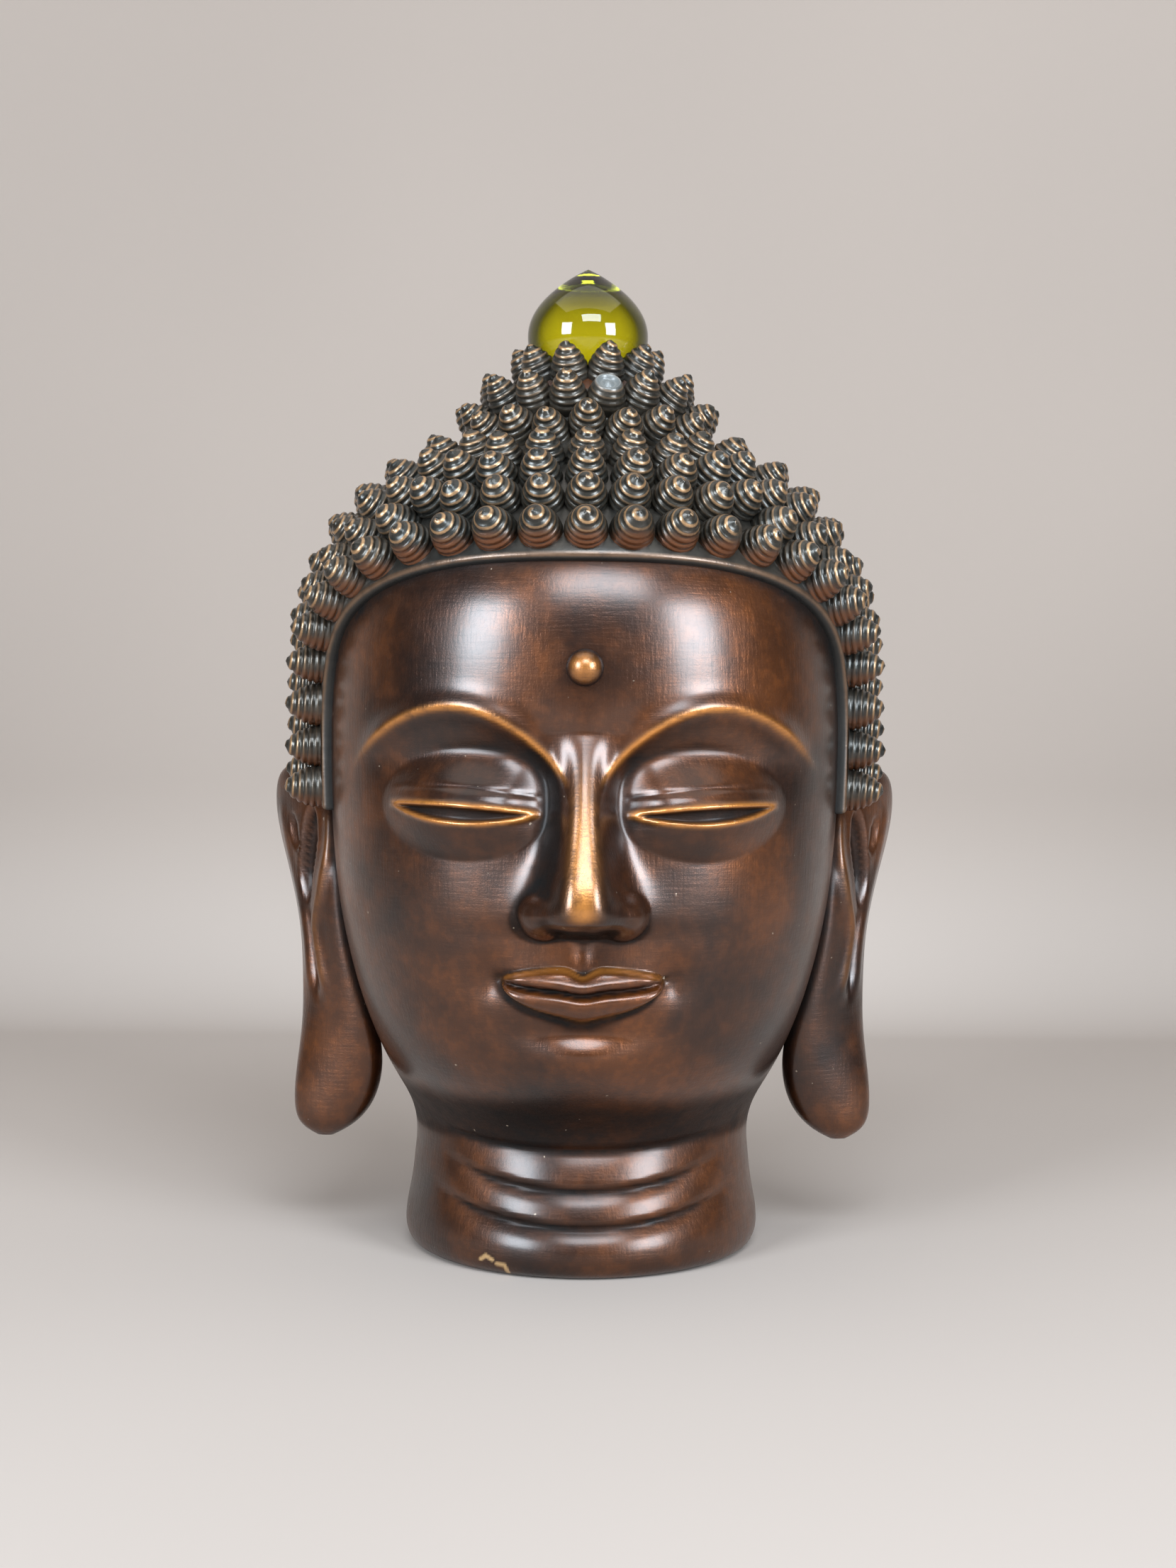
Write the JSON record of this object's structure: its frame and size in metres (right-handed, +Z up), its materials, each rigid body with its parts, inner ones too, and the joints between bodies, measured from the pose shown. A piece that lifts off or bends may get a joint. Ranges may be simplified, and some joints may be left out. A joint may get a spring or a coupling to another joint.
{
  "type": "copper buddha head",
  "caption": "Cast copper head with rows of snail-shell curls, long pendant ears and a pointed glass jewel, standing on its own flared neck.",
  "frame": {"origin": "middle of the flat underside of the neck, on the surface that the head stands on", "axes": "+Z up through the crown to the jewel's tip, -Y the way the face looks, +X to the right of someone facing it"},
  "size_m": [0.2296, 0.2305, 0.3491],
  "materials": {
    "copper": "dark reddish-brown patina over cast copper, semi-gloss, worn to gold on the raised edges",
    "glass": "clear yellow-green glass, polished"
  },
  "bodies": {
    "root": {"head": "copper", "jewel": "glass"}
  },
  "joints": []
}
